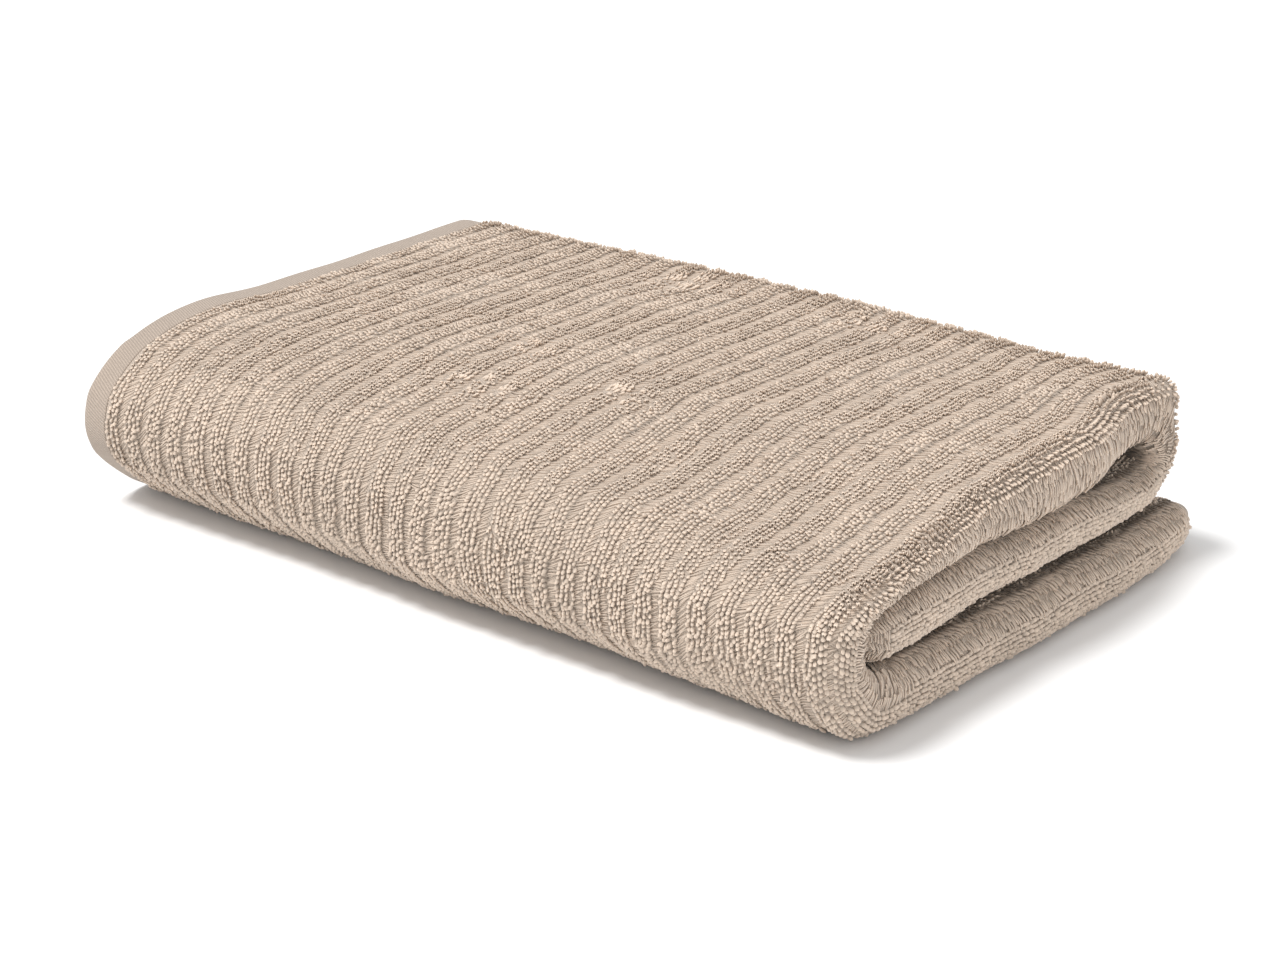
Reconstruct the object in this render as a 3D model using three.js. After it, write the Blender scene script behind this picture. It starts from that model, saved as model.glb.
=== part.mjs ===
import * as THREE from "three";

// A bath towel of ribbed terry, folded in four along its length and then in three across its width.
// X runs along the long side, Y from the near fold to the far side and Z up. Sizes are in mm.

// The folded towel.
const FOLDED_LENGTH = 350;
const FOLDED_DEPTH = 233;
const LAYER = 4.8; // one thickness of cloth, with the pile of both its faces
const AIR = 0.3; // between two layers, and between two arms
const SEAM = 0.3; // between two neighbouring stretches of the one cloth

// The weave.
const RIB_PITCH = 11.2;
const RIB_SHARE = 0.6; // how much of the pitch the pile takes
const GROOVE_DEPTH = 1.2;
const GROOVE_SLOPE = 0.6; // how far a groove's wall leans over
const HEM_WIDTH = 12;
const HEM_THICKNESS = 3.2;
const HEM_CHAMFER = 0.7;
const INNER_HEM_INSET = 1.5; // the second hem lies this far behind the first
const SELVEDGE_WIDTH = 8;
const SELVEDGE_TAPER = [1, 0.93, 0.78]; // its thickness over that of the arm, towards the edge

// The folds.
const NEAR_SEGMENTS = 3; // the near fold unrolls over this many stretches
const FAR_STEPS = 8;
const WRAP_STEPS = 6;
const FAR_SETBACK = 6; // the far fold stops this far short of the bottom arm's edge
const CROSS_FOLD_INSET = 2; // the inner cross fold lies this far behind the hem's edge
const TUCK_REACH = 3; // how far the tucked arm goes past the centre of the near fold

const ARM = 4 * LAYER + 3 * AIR;
const HEIGHT = 3 * ARM + 2 * AIR;
const LEFT = -FOLDED_LENGTH / 2;
const WRAP_X = FOLDED_LENGTH / 2 - ARM / 2; // where the layers start to turn at the right end
const CROSS_RADIUS = LAYER + AIR / 2;
const CROSS_X = LEFT + CROSS_FOLD_INSET + CROSS_RADIUS;
const PANEL_X = LEFT + HEM_WIDTH + SEAM; // where the pile starts behind the hem

const terry = new THREE.MeshStandardMaterial({ name: "terry", color: 0xc7b4a4, roughness: 0.95 });
const weave = new THREE.MeshStandardMaterial({ name: "hem_weave", color: 0xcfbcab, roughness: 0.85 });

// Points of an arc in the plane of the cross-section: x along the towel, n in from the outer face.
function arc(x, n, radius, from, to) {
  return Array.from({ length: WRAP_STEPS + 1 }, (_, i) => {
    const angle = THREE.MathUtils.degToRad(from + ((to - from) * i) / WRAP_STEPS);
    return [x + radius * Math.cos(angle), n + radius * Math.sin(angle)];
  });
}

// A point of the arm's skin: along the outer face, round the right end and back along the inner face.
function skin(along, depth) {
  const straight = WRAP_X - PANEL_X;
  const turn = (Math.PI * ARM) / 2;
  if (along <= straight) return [PANEL_X + along, depth];
  if (along >= straight + turn) return [WRAP_X - (along - straight - turn), ARM - depth];
  const angle = ((along - straight) / turn) * Math.PI - Math.PI / 2;
  const radius = ARM / 2 - depth;
  return [WRAP_X + radius * Math.cos(angle), ARM / 2 + radius * Math.sin(angle)];
}

// The skin with its ribs. Each rib stands on the ground weave with a groove beside it.
function ribbedSkin() {
  const length = WRAP_X - PANEL_X + (Math.PI * ARM) / 2 + WRAP_X - CROSS_X;
  const points = [skin(0, 0)];
  for (let k = 0; (k + 1) * RIB_PITCH < length; k++) {
    const start = (k + RIB_SHARE) * RIB_PITCH;
    const end = (k + 1) * RIB_PITCH;
    points.push(skin(start, 0));
    points.push(skin(start + GROOVE_SLOPE, GROOVE_DEPTH));
    points.push(skin(end - GROOVE_SLOPE, GROOVE_DEPTH));
    points.push(skin(end, 0));
  }
  return points;
}

function plainSkin() {
  return [[PANEL_X, 0], ...arc(WRAP_X, ARM / 2, ARM / 2, -90, 90)];
}

// One arm's cross-section: four layers of cloth, from the outer hem through both cross folds to the inner.
function armOutline(outside) {
  const inner = PANEL_X + INNER_HEM_INSET;
  const middle = ARM / 2;
  return [
    ...outside,
    ...arc(CROSS_X, ARM - CROSS_RADIUS, CROSS_RADIUS, 90, 270),
    ...arc(WRAP_X, middle, AIR / 2, 90, -90),
    [inner, middle - AIR / 2],
    [inner, LAYER + AIR],
    ...arc(WRAP_X, middle, middle - LAYER - AIR, -90, 90),
    ...arc(CROSS_X, ARM - CROSS_RADIUS, AIR / 2, 270, 90),
    ...arc(WRAP_X, middle, middle - LAYER, 90, -90),
    [PANEL_X, LAYER],
  ];
}

// A woven hem's cross-section, in the middle of the layer that it ends.
function hemOutline(layer) {
  const low = layer * (LAYER + AIR) + (LAYER - HEM_THICKNESS) / 2;
  const high = low + HEM_THICKNESS;
  const start = LEFT + layer * INNER_HEM_INSET;
  const end = start + HEM_WIDTH;
  return [
    [start + HEM_CHAMFER, low],
    [end, low],
    [end, high],
    [start + HEM_CHAMFER, high],
    [start, high - HEM_CHAMFER],
    [start, low + HEM_CHAMFER],
  ];
}

// A station says where an outline stands: a point of the outer face, and how n goes in from there.
function station(y, z, ny, nz) {
  return { y, z, ny, nz };
}

function moved(at, dy, dz) {
  return station(at.y + dy, at.z + dz, at.ny, at.nz);
}

// The same plane with the arm squeezed about its middle, as at a pressed edge.
function squeezed(at, share) {
  const inset = ((1 - share) * ARM) / 2;
  return station(at.y + at.ny * inset, at.z + at.nz * inset, at.ny * share, at.nz * share);
}

// One closed solid that runs through the stations.
function sweep(outline, stations) {
  const count = outline.length;
  const positions = stations.flatMap((s) => outline.flatMap(([x, n]) => [x, s.y + n * s.ny, s.z + n * s.nz]));
  const index = [];
  for (let k = 0; k + 1 < stations.length; k++) {
    for (let i = 0; i < count; i++) {
      const j = (i + 1) % count;
      const [a, b, c, d] = [k * count + i, k * count + j, (k + 1) * count + j, (k + 1) * count + i];
      index.push(a, b, c, a, c, d);
    }
  }
  const flat = outline.map(([x, n]) => new THREE.Vector2(x, n));
  const last = (stations.length - 1) * count;
  for (const [a, b, c] of THREE.ShapeUtils.triangulateShape(flat, [])) {
    index.push(a, c, b);
    index.push(last + a, last + b, last + c);
  }
  const geometry = new THREE.BufferGeometry();
  geometry.setAttribute("position", new THREE.Float32BufferAttribute(positions, 3));
  geometry.setIndex(index);
  geometry.computeVertexNormals();
  return geometry;
}

// The near fold is half of a polygon round its centre, with a hinge line at each corner.
const NEAR_Y = -FOLDED_DEPTH / 2 + HEIGHT / 2;
const NEAR_TURN = Math.PI / (NEAR_SEGMENTS + 1);
const corners = Array.from({ length: NEAR_SEGMENTS + 1 }, (_, k) => {
  const angle = (k + 0.5) * NEAR_TURN - Math.PI / 2;
  const reach = HEIGHT / 2 / Math.cos(NEAR_TURN / 2);
  const lean = 1 / Math.cos(NEAR_TURN / 2);
  return station(
    NEAR_Y - reach * Math.cos(angle),
    HEIGHT / 2 + reach * Math.sin(angle),
    lean * Math.cos(angle),
    -lean * Math.sin(angle),
  );
});

function nearSegment(k) {
  const direction = (k + 1) * NEAR_TURN;
  const dy = (-Math.cos(direction) * SEAM) / 2;
  const dz = (Math.sin(direction) * SEAM) / 2;
  return [moved(corners[k], dy, dz), moved(corners[k + 1], -dy, -dz)];
}

// The far fold turns the top arm down and under, so that its inner faces meet.
const FAR_RADIUS = ARM + AIR / 2;
const FAR_Y = FOLDED_DEPTH / 2 - FAR_SETBACK - FAR_RADIUS;
const FAR_Z = HEIGHT - FAR_RADIUS;
const farTurn = Array.from({ length: FAR_STEPS + 1 }, (_, k) => {
  const angle = Math.PI / 2 - (k * Math.PI) / FAR_STEPS;
  const [c, s] = [Math.cos(angle), Math.sin(angle)];
  return station(FAR_Y + FAR_RADIUS * c, FAR_Z + FAR_RADIUS * s, -c, -s);
});

// The two free edges. Each selvedge takes the last stretch of its arm.
const bottomEdge = station(FOLDED_DEPTH / 2, 0, 0, 1);
const middleEdge = station(NEAR_Y - TUCK_REACH, ARM + AIR, 0, 1);
const bottomStart = moved(bottomEdge, -SELVEDGE_WIDTH, 0);
const middleEnd = moved(middleEdge, SELVEDGE_WIDTH, 0);
const bottomNear = moved(corners[0], SEAM / 2, 0);
const topNear = moved(corners[NEAR_SEGMENTS], SEAM / 2, 0);
const topFar = station(FAR_Y - SEAM, HEIGHT, 0, -1);
const middleFar = station(FAR_Y - SEAM, ARM + AIR, 0, 1);

// Each stretch of the towel: its pile runs through one list of stations and its two hems through the other.
const stretches = [
  ["bottom_panel", [moved(bottomStart, -SEAM, 0), bottomNear], [bottomEdge, bottomNear]],
  ["near_fold_lower", nearSegment(0), nearSegment(0)],
  ["near_fold_middle", nearSegment(1), nearSegment(1)],
  ["near_fold_upper", nearSegment(2), nearSegment(2)],
  ["top_panel", [topNear, topFar], [topNear, topFar]],
  ["far_fold", farTurn, farTurn],
  ["middle_panel", [middleFar, moved(middleEnd, SEAM, 0)], [middleFar, middleEdge]],
];

const group = new THREE.Group();
group.name = "bath_towel";

function add(name, geometry, material) {
  const mesh = new THREE.Mesh(geometry, material.clone());
  mesh.name = name;
  group.add(mesh);
}

const ribbed = armOutline(ribbedSkin());
const plain = armOutline(plainSkin());
for (const [name, pile, hems] of stretches) {
  add(name, sweep(ribbed, pile), terry);
  add(`${name}_hem_outer`, sweep(hemOutline(0), hems), weave);
  add(`${name}_hem_inner`, sweep(hemOutline(1), hems), weave);
}

// A selvedge is loop-free. Its layers are pressed closer towards the edge.
function selvedge(start, side) {
  return SELVEDGE_TAPER.map((share, i) => {
    const along = (side * i * SELVEDGE_WIDTH) / (SELVEDGE_TAPER.length - 1);
    return squeezed(moved(start, along, 0), share);
  });
}

add("bottom_selvedge", sweep(plain, selvedge(bottomStart, 1).reverse()), weave);
add("middle_selvedge", sweep(plain, selvedge(middleEnd, -1)), weave);

export default group;
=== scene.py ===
"""A bath towel in ribbed terry, folded in four along its length and in three across it.

The cloth is one long serpentine. s runs along its 1.40 m length, w across its 0.70 m width, and h is the
height above the middle of the cloth on its outer side. Every piece is made in s, w, h and put in its place
by the same mapping, in millimetres, and is written to Blender in metres.
"""

import math
from collections import namedtuple

import bpy
import numpy as np
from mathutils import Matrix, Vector


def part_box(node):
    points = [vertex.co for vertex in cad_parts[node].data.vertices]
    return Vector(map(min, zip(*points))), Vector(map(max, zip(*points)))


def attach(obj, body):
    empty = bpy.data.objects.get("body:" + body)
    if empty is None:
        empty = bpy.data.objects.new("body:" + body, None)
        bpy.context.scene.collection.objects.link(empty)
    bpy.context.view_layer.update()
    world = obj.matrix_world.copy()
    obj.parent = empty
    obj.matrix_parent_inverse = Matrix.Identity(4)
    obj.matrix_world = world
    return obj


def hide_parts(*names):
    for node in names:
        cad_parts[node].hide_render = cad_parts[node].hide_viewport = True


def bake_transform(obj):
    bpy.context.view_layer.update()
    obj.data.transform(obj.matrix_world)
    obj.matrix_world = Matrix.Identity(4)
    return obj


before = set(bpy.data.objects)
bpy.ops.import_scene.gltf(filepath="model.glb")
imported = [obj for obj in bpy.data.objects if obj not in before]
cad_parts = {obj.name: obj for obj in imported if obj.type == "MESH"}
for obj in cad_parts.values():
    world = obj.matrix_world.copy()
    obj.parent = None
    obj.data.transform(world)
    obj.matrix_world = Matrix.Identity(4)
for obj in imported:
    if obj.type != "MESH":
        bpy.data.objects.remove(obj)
bpy.context.view_layer.update()
MM = 0.001

# ---------------------------------------------------------------- sizes from the CAD


def box_mm(cad_node):
    lo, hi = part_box(cad_node)
    return np.array(lo) / MM, np.array(hi) / MM


bottom_lo, bottom_hi = box_mm("bottom_panel")
selvedge_hi = box_mm("bottom_selvedge")[1]
far_lo, far_hi = box_mm("far_fold")
near_lo = box_mm("near_fold_middle")[0]
tucked_lo = box_mm("middle_selvedge")[0]
hem_lo, hem_hi = box_mm("bottom_panel_hem_outer")
inner_hem_lo = box_mm("bottom_panel_hem_inner")[0]

ARM = bottom_hi[2]  # one arm of the fold: four layers of cloth
HEIGHT = far_hi[2]  # three arms and the gaps between them
GAP = 0.3
LEFT = hem_lo[0]
RIGHT = selvedge_hi[0]
HEM_WIDTH = hem_hi[0] - hem_lo[0]
FAR_END = selvedge_hi[1]
FAR_RADIUS = (HEIGHT - far_lo[2]) / 2
FAR_Y = far_lo[1]
NEAR_RADIUS = HEIGHT / 2
NEAR_Y = near_lo[1] + NEAR_RADIUS
TUCKED_END = tucked_lo[1]
TUCKED_NOSE = 6.0  # how far the tucked arm's rounded nose reaches past its CAD solid

HALF_LAYER = 2.4
MID = ARM / 2
WRAP_X = RIGHT - MID  # where the cloth starts its turns at the right-hand end
CROSS_TURN = 2.55  # radius of the inner cross fold
CROSS_X = bottom_lo[0] + CROSS_TURN + HALF_LAYER
PILE_START = 12.3
RIB_PITCH = 11.2
RIB_WIDTH = 6.72

# ---------------------------------------------------------------- the folded cloth


class Path:
    """A plane curve of straight runs and arcs, read by its length."""

    def __init__(self, start):
        self.at = np.array(start, float)
        self.pieces = []
        self.length = 0.0

    def line(self, end):
        end = np.array(end, float)
        run = np.linalg.norm(end - self.at)
        self.pieces.append((self.length, run, self.at, (end - self.at) / run, None))
        self.at, self.length = end, self.length + run
        return self

    def turn(self, centre, degrees):
        """An arc about centre, anticlockwise if degrees is positive."""
        centre = np.array(centre, float)
        out = self.at - centre
        radius, first, angle = np.linalg.norm(out), math.atan2(out[1], out[0]), math.radians(degrees)
        run = radius * abs(angle)
        self.pieces.append((self.length, run, centre, None, (radius, first, angle)))
        self.at = centre + radius * np.array([math.cos(first + angle), math.sin(first + angle)])
        self.length += run
        return self

    def read(self, along):
        """The points at these lengths, and the unit normals on the right of the way."""
        point, normal = np.zeros(along.shape + (2,)), np.zeros(along.shape + (2,))
        for index, (start, run, origin, heading, arc) in enumerate(self.pieces):
            here = along >= start if index else np.ones(along.shape, bool)
            part = along[here] - start
            if arc is None:
                point[here] = origin + part[:, None] * heading
                normal[here] = [heading[1], -heading[0]]
            else:
                radius, first, angle = arc
                turned = first + angle * part / run
                out = np.stack([np.cos(turned), np.sin(turned)], -1)
                point[here] = origin + radius * out
                normal[here] = out * math.copysign(1, angle)
        return point, normal


profile = (
    Path((LEFT, HALF_LAYER))
    .line((WRAP_X, HALF_LAYER))
    .turn((WRAP_X, MID), 180)
    .line((CROSS_X, ARM - HALF_LAYER))
    .turn((CROSS_X, MID + 2 * CROSS_TURN), 180)
    .line((WRAP_X, MID + CROSS_TURN))
    .turn((WRAP_X, MID), -180)
    .line((inner_hem_lo[0], MID - CROSS_TURN))
)
course = (
    Path((FAR_END, MID))
    .line((NEAR_Y, MID))
    .turn((NEAR_Y, NEAR_RADIUS), -180)
    .line((FAR_Y, HEIGHT - MID))
    .turn((FAR_Y, HEIGHT - FAR_RADIUS), -180)
    .line((TUCKED_END - TUCKED_NOSE, HEIGHT - 2 * FAR_RADIUS + MID))
)
# Where each stretch of the profile and of the course begins, by length.
S_WRAP, S_BACK, S_CROSS, S_IN, S_INNER_WRAP, S_LAST = (piece[0] for piece in profile.pieces[1:])
W_NEAR, W_TOP, W_FAR, W_MIDDLE = (piece[0] for piece in course.pieces[1:])
NEAR_TURN, FAR_TURN = W_TOP - W_NEAR, W_MIDDLE - W_FAR
# The course's stretches by number, for what is laid along one of them.
ON_BOTTOM, ON_NEAR, ON_TOP, ON_FAR, ON_TUCKED = range(5)

# Length on the outer skin against length along the middle of the cloth, from the first rib on.
WRAP_GAIN = MID / (MID - HALF_LAYER)
CROSS_GAIN = (CROSS_TURN + HALF_LAYER) / CROSS_TURN
CLOTH_KNOTS = [PILE_START, S_WRAP, S_BACK, S_CROSS, S_IN]
SKIN_KNOTS = [0.0]
for step, gain in zip(np.diff(CLOTH_KNOTS), (1, WRAP_GAIN, 1, CROSS_GAIN)):
    SKIN_KNOTS.append(SKIN_KNOTS[-1] + step * gain)
T_WRAP, T_BACK, T_CROSS, T_END = SKIN_KNOTS[1:]


def smooth(value, low, high):
    t = np.clip((value - low) / (high - low), 0, 1)
    return t * t * (3 - 2 * t)


def bump(value, centre, width):
    return np.exp(-(((value - centre) / width) ** 2))


def drift(a, b, scale, seed):
    """A soft random field of about -1 to 1, the same at every run."""
    rng = np.random.default_rng(seed)
    total = np.zeros(np.broadcast(a, b).shape)
    for size, weight in ((1.0, 0.55), (0.53, 0.3), (0.27, 0.15)):
        for _ in range(3):
            heading, phase = rng.uniform(0, math.tau, 2)
            wave = math.tau / (scale * size * rng.uniform(0.8, 1.25))
            along = a * math.cos(heading) + b * math.sin(heading)
            total = total + weight / 1.5 * np.sin(along * wave + phase)
    return total


# ---------------------------------------------------------------- how the pile has settled

END_ROUNDING, END_PINCH = 18.0, 0.5  # the bottom arm's far edge: how far in it thins, and by what share
NOSE_START, NOSE_REACH, NOSE_MOST = 11.0, 11.8, 0.985  # the tucked arm's rounded nose
OCTAGON_SHARE = 0.3  # how much of the difference between the near fold's eight sides and a circle is kept
WRAP_SQUARENESS, WRAP_LIFT = 2.4, 0.35  # the power of the end's curve, and how much of it shows in height

# What has slipped or swelled, in millimetres. IN is into the stack, and OUT is out of it.
TOP_WAVER, TOP_IN, TOP_CORNER_OUT = 1.2, 5.0, 2.0
TUCKED_WAVER, TUCKED_IN, TUCKED_FAR_IN = 0.9, 1.0, 2.5
BOTTOM_OUT, BOTTOM_MIDDLE_OUT, BOTTOM_FAR_IN = 1.2, 2.6, 5.0
CORNER_IN, CORNER_LIP_OUT, CORNER_UP = 6.0, 1.5, 3.5
SIDE_WAVER, NEAR_SWELL, FOOT_OUT, FOOT_UP = 0.8, 3.2, 3.0, 3.2


def heights(x, y):
    """The stack's settled height at its first gap, second gap and top, as shares of its even height."""
    u = np.clip((x - LEFT) / (RIGHT - LEFT), 0, 1)
    left = 1.085 + 0.03 * bump(y, -58, 22) - 0.06 * bump(y, -96, 13)
    middle = 1.16 - 0.16 * (1 - smooth(y, -110, -20))
    right = 1.13 - 0.27 * (1 - smooth(y, -100, 15))
    top = left * (1 - u) * (1 - 2 * u) + middle * 4 * u * (1 - u) + right * u * (2 * u - 1)
    top = top + 0.01 * drift(x, y, 150, 11)
    end = smooth(x, 60, RIGHT - 10)
    first = 1.17 - 0.09 * smooth(y, -60, 90) + 0.03 * np.sin(y / 23 + 0.6)
    second = 1.07 + 0.06 * bump(y, -45, 35) - 0.02 * smooth(y, 0, 90) + 0.012 * np.sin(y / 19)
    return top + (first - top) * end, top + (second - top) * end, top


def restack(z, first, second, top):
    """The even stack's heights, with its two gaps and its top moved to these shares of their own heights."""
    steps = np.array([0.0, ARM + GAP / 2, 2 * ARM + 3 * GAP / 2, HEIGHT])
    levels = [0 * top, steps[1] * first, steps[2] * second, steps[3] * top]
    up = np.zeros(z.shape)
    for low, high, under, over in zip(steps[:-1], steps[1:], levels[:-1], levels[1:]):
        part = (z - low) / (high - low)
        here = (z >= low) | (low == 0)
        up = np.where(here, under + part * (over - under), up)
    return up


def slip_of_end(y, z, upper, tucked, lower):
    """How far beyond their even places the right-hand ends of the three arms have slipped."""
    top_slip = TOP_WAVER * drift(y, 0 * y, 90, 31) - TOP_IN * smooth(y, 20, 80)
    top_slip = top_slip + TOP_CORNER_OUT * smooth(y, 85, 105)
    tucked_slip = TUCKED_WAVER * drift(y, 0 * y, 110, 37) - TUCKED_IN - TUCKED_FAR_IN * smooth(y, 40, 110)
    bottom_slip = BOTTOM_OUT + BOTTOM_MIDDLE_OUT * smooth(y, -90, 40) - BOTTOM_FAR_IN * smooth(y, 75, 112)
    bottom_slip = bottom_slip * np.clip(1.3 - z / 30, 0.3, 1.2)
    corner_slip = CORNER_LIP_OUT * smooth(y, 95, 108) * smooth(z, 50, 60)
    corner_slip = corner_slip - CORNER_IN * smooth(y, 78, 100) * (1 - lower) * (1 - smooth(z, 46, 60))
    return upper * top_slip + tucked * tucked_slip + lower * bottom_slip + corner_slip


def settle(x, y, z, w):
    """Moves evenly folded points to where the towel's own weight and its soft folds have brought them."""
    first, second, top = heights(x, y)
    upper = smooth(w, W_NEAR + 0.7 * NEAR_TURN, W_TOP + 20) * (1 - smooth(w, W_FAR - 10, W_MIDDLE))
    tucked = smooth(w, W_FAR + 0.3 * FAR_TURN, W_MIDDLE + 12)
    lower = 1 - smooth(w, W_NEAR - 10, W_NEAR + 25)
    end = smooth(x, RIGHT - 65, RIGHT - 8)

    # Towards the far side the top and tucked arms part, and along the end the tucked and bottom arms do.
    gape = end * smooth(y, 25, 85)
    second = second + gape * (0.09 * upper - 0.12 * tucked)
    crack = end * smooth(y, -75, -30)
    first = first + crack * (0.08 * tucked - 0.09 * lower)
    up = restack(z, first, second, top)
    up = up + CORNER_UP * end * smooth(y, 88, 108) * (1 - lower) * smooth(z, 46, 58)

    side = x + SIDE_WAVER * drift(x * 0.25, y, 55, 23) * smooth(x, LEFT + 8, LEFT + 40)
    side = side + end * slip_of_end(y, z, upper, tucked, lower)

    # The near fold swells at its left. Its foot stands out near the right-hand end and is raised elsewhere.
    near = 1 - smooth(y, -100, -60)
    forward = y + SIDE_WAVER * drift(x, z * 2, 120, 41) * smooth(np.abs(y), 60, 110)
    forward = forward - NEAR_SWELL * (1 - smooth(x, LEFT, LEFT + 90)) * bump(z, 30, 17) * near
    forward = forward - FOOT_OUT * bump(x, 150, 26) * bump(z, 5, 10) * near
    up = up + FOOT_UP * bump(y, -112, 14) * (1 - smooth(x, 60, RIGHT - 20)) * np.clip(1 - z / 25, 0, 1)
    return side, forward, up


def place(s, w, h):
    """Points in millimetres for the cloth coordinates s, w and h."""
    s, w, h = np.broadcast_arrays(*(np.asarray(v, float) for v in (s, w, h)))
    across, outward = profile.read(s)
    x = across[..., 0] + h * outward[..., 0]
    depth = across[..., 1] + h * outward[..., 1]

    # The round turn at the right-hand end is squared off a little.
    reach, rise = np.clip(x - WRAP_X, 0, None), depth - MID
    round_out = np.sqrt(reach**2 + rise**2) + 1e-9
    square = (reach / round_out) ** WRAP_SQUARENESS + np.abs(rise / round_out) ** WRAP_SQUARENESS
    square = square ** (-1 / WRAP_SQUARENESS)
    x = x + reach * (square - 1)
    depth = MID + rise * np.where(reach > 0, 1 + (square - 1) * WRAP_LIFT, 1)

    # Both free edges thin out: the bottom arm's to half and the tucked arm's to a nose.
    pinch = 1 - END_PINCH * np.clip(1 - w / END_ROUNDING, 0, 1) ** 2.2
    nose = np.clip((w - course.length + NOSE_START) / NOSE_REACH, 0, NOSE_MOST)
    pinch = pinch * np.sqrt(1 - nose**2)
    depth = MID + (depth - MID) * pinch
    x = x - np.clip(x - WRAP_X, 0, None) * (1 - pinch) * 0.9

    run, inward = course.read(w)
    turned = np.clip((w - W_NEAR) / NEAR_TURN, 0, 1) * 180
    corner = np.abs((turned + 22.5) % 45 - 22.5)
    swell = NEAR_RADIUS * (1 / np.cos(np.radians(corner)) - 1) * OCTAGON_SHARE
    y = run[..., 0] + (depth - MID - swell) * inward[..., 0]
    z = run[..., 1] + (depth - MID - swell) * inward[..., 1]
    return np.stack(settle(x, y, z, w), -1)


# ---------------------------------------------------------------- zones, one for each bend of the near fold

TOP_START = W_TOP + 15
QUARTER = NEAR_TURN / 4
QUARTERS = [W_NEAR + share * QUARTER for share in (1, 2, 3)]
# first and last are in w. A zone with a single entry in bodies rides on that body, and each zone stands for
# its CAD nodes.
Zone = namedtuple("Zone", "name first last bodies nodes")
ZONES = [
    Zone("bottom", 0, QUARTERS[0], ("bottom", "fold_lower"), ("bottom_panel", "bottom_selvedge")),
    Zone("near_lower", QUARTERS[0], QUARTERS[1], ("fold_lower", "fold_middle"), ("near_fold_lower",)),
    Zone("near_middle", QUARTERS[1], QUARTERS[2], ("fold_middle", "fold_upper"), ("near_fold_middle",)),
    Zone("near_upper", QUARTERS[2], TOP_START, ("fold_upper", "top"), ("near_fold_upper",)),
    Zone(
        "top",
        TOP_START,
        course.length,
        ("top",),
        ("top_panel", "far_fold", "middle_panel", "middle_selvedge"),
    ),
]


def zone_of(w):
    return np.searchsorted([zone.first for zone in ZONES[1:]], w, side="right")


def put_on_bodies(obj, zone):
    """Rides on the zone's body; a zone between two bodies keeps its place, with its transform applied to its
    mesh.
    """
    if len(zone.bodies) == 1:
        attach(obj, zone.bodies[0])
        return
    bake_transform(obj)


# ---------------------------------------------------------------- meshes

EDGE_ROWS = (0, 1, 2.5, 5, 10, 16)
BEND_STEP, FLAT_STEP = 1.6, 4.0


def make_mesh(name, points, quads, material, maps=(), values=()):
    """A smooth mesh of quads. maps are UV maps and values are vertex attributes, as (name, array) pairs."""
    mesh = bpy.data.meshes.new(name)
    mesh.vertices.add(len(points))
    mesh.vertices.foreach_set("co", (points * MM).astype(np.float32).ravel())
    mesh.loops.add(quads.size)
    mesh.loops.foreach_set("vertex_index", quads.astype(np.int32).ravel())
    mesh.polygons.add(len(quads))
    mesh.polygons.foreach_set("loop_start", np.arange(0, quads.size, 4, dtype=np.int32))
    mesh.update(calc_edges=True)
    mesh.polygons.foreach_set("use_smooth", np.ones(len(quads), bool))
    for map_name, corners in maps:
        layer = mesh.uv_layers.new(name=map_name)
        layer.data.foreach_set("uv", corners.astype(np.float32).ravel())
    for value_name, value in values:
        attribute = mesh.attributes.new(value_name, "FLOAT", "POINT")
        attribute.data.foreach_set("value", value.astype(np.float32))
    mesh.materials.append(material)
    obj = bpy.data.objects.new(name, mesh)
    bpy.context.scene.collection.objects.link(obj)
    return obj


def spread(first, last, step):
    return np.linspace(first, last, max(2, int(math.ceil((last - first) / step)) + 1))


def stations_w(first, last):
    """Where a sheet has its rows: close together in the folds and at the rounded selvedges."""
    edges = [*EDGE_ROWS, W_NEAR, *QUARTERS, W_TOP, W_FAR, W_MIDDLE]
    edges += [course.length - row for row in reversed(EDGE_ROWS)]
    edges = np.array([first] + [e for e in edges if first < e < last] + [last])
    rows = []
    for low, high in zip(edges[:-1], edges[1:]):
        curved = W_NEAR - 1 < low < W_TOP - 1 or W_FAR - 1 < low < W_MIDDLE - 1
        rows.append(spread(low, high, BEND_STEP if curved else FLAT_STEP)[:-1])
    return np.append(np.concatenate(rows), last)


def skin_w(w):
    """Length along the outer skin of the course, for weave that doesn't stretch in the folds."""
    near = np.clip(w - W_NEAR, 0, NEAR_TURN) * (NEAR_RADIUS / (NEAR_RADIUS - MID) - 1)
    far = np.clip(w - W_FAR, 0, FAR_TURN) * (FAR_RADIUS / (FAR_RADIUS - MID) - 1)
    return w + near + far


def closed_quads(index, under):
    """Quads over two grids of vertex numbers, the upper and the lower, and round their edges."""

    def cells(a, b, c, d):
        return np.stack([a, b, c, d], -1).reshape(-1, 4)

    quads = [
        cells(index[:-1, :-1], index[1:, :-1], index[1:, 1:], index[:-1, 1:]),
        cells(under[:-1, :-1], under[:-1, 1:], under[1:, 1:], under[1:, :-1]),
        cells(index[:-1, 0], under[:-1, 0], under[1:, 0], index[1:, 0]),
        cells(index[1:, -1], under[1:, -1], under[:-1, -1], index[:-1, -1]),
        cells(index[0, 1:], under[0, 1:], under[0, :-1], index[0, :-1]),
        cells(index[-1, :-1], under[-1, :-1], under[-1, 1:], index[-1, 1:]),
    ]
    return np.concatenate(quads)


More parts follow.
